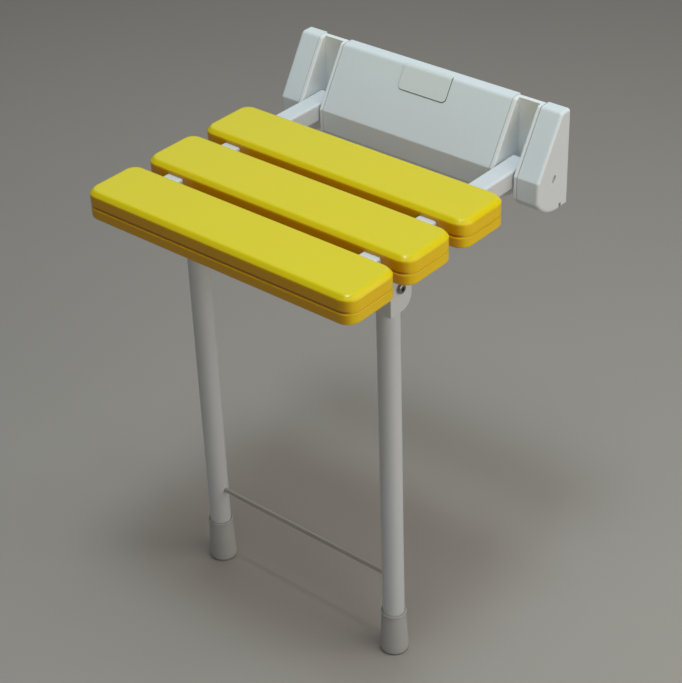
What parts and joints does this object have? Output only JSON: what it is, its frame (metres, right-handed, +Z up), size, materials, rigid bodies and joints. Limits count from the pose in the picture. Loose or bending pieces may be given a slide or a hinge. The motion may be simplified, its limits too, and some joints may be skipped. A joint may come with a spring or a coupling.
{
  "type": "folding shower seat",
  "caption": "Wall-mounted folding shower seat: slatted seat on two arms that swing up into a wedge-shaped wall bracket, with hinged tubular legs joined by a tie rod.",
  "frame": {"origin": "on the wall, at the middle of the wall plate's back face", "axes": "+X to the right facing the wall, +Y into the wall, +Z up; the seat reaches out along -Y when lowered"},
  "size_m": [0.318, 0.321, 0.5278],
  "materials": {
    "slat_yellow": "glossy moulded plastic",
    "cover_white": "satin moulded plastic",
    "badge_cream": "satin, bare",
    "hinge_cream": "satin paint on a casting",
    "tube_white": "powder coat on steel tube",
    "plate_steel": "plain zinc-coated steel",
    "fixing_steel": "plain stainless steel",
    "bolt_chrome": "polished",
    "bush_nylon": "plain nylon",
    "foot_rubber": "matt grey rubber"
  },
  "bodies": {
    "wall_bracket": {"wall_plate": "plate_steel", "hinge_screws": "fixing_steel", "left_hinge_bracket": "hinge_cream", "right_hinge_bracket": "hinge_cream", "centre_cover": "cover_white", "left_cover": "cover_white", "right_cover": "cover_white", "badge_plate": "badge_cream", "left_pivot_pin": "fixing_steel", "right_pivot_pin": "fixing_steel", "pin_clips": "fixing_steel"},
    "seat": {"left_arm": "tube_white", "right_arm": "tube_white", "left_pivot_bushes": "bush_nylon", "right_pivot_bushes": "bush_nylon", "rear_slat_top": "slat_yellow", "middle_slat_top": "slat_yellow", "front_slat_top": "slat_yellow", "rear_slat_base": "slat_yellow", "middle_slat_base": "slat_yellow", "front_slat_base": "slat_yellow", "slat_screws": "fixing_steel", "arm_screws": "fixing_steel", "left_leg_lug": "tube_white", "right_leg_lug": "tube_white"},
    "legs": {"left_leg_fork": "tube_white", "right_leg_fork": "tube_white", "left_leg_spacer": "bush_nylon", "right_leg_spacer": "bush_nylon", "left_leg_bolt": "bolt_chrome", "right_leg_bolt": "bolt_chrome", "leg_washers": "fixing_steel", "leg_nuts": "fixing_steel", "left_leg_tube": "tube_white", "right_leg_tube": "tube_white", "left_foot": "foot_rubber", "right_foot": "foot_rubber", "tie_rod": "fixing_steel"}
  },
  "joints": [
    {"name": "seat_fold", "type": "hinge", "parent": "wall_bracket", "child": "seat", "pos_m": [0, -0.0225, -0.014], "axis": [-1, 0, 0], "range_deg": [0, 90]},
    {"name": "leg_fold", "type": "hinge", "parent": "seat", "child": "legs", "pos_m": [0, -0.2215, -0.0437], "axis": [1, 0, 0], "range_deg": [0, 90]}
  ],
  "couplings": [
    {"joint": "leg_fold", "follows": "seat_fold", "ratio": 1}
  ]
}
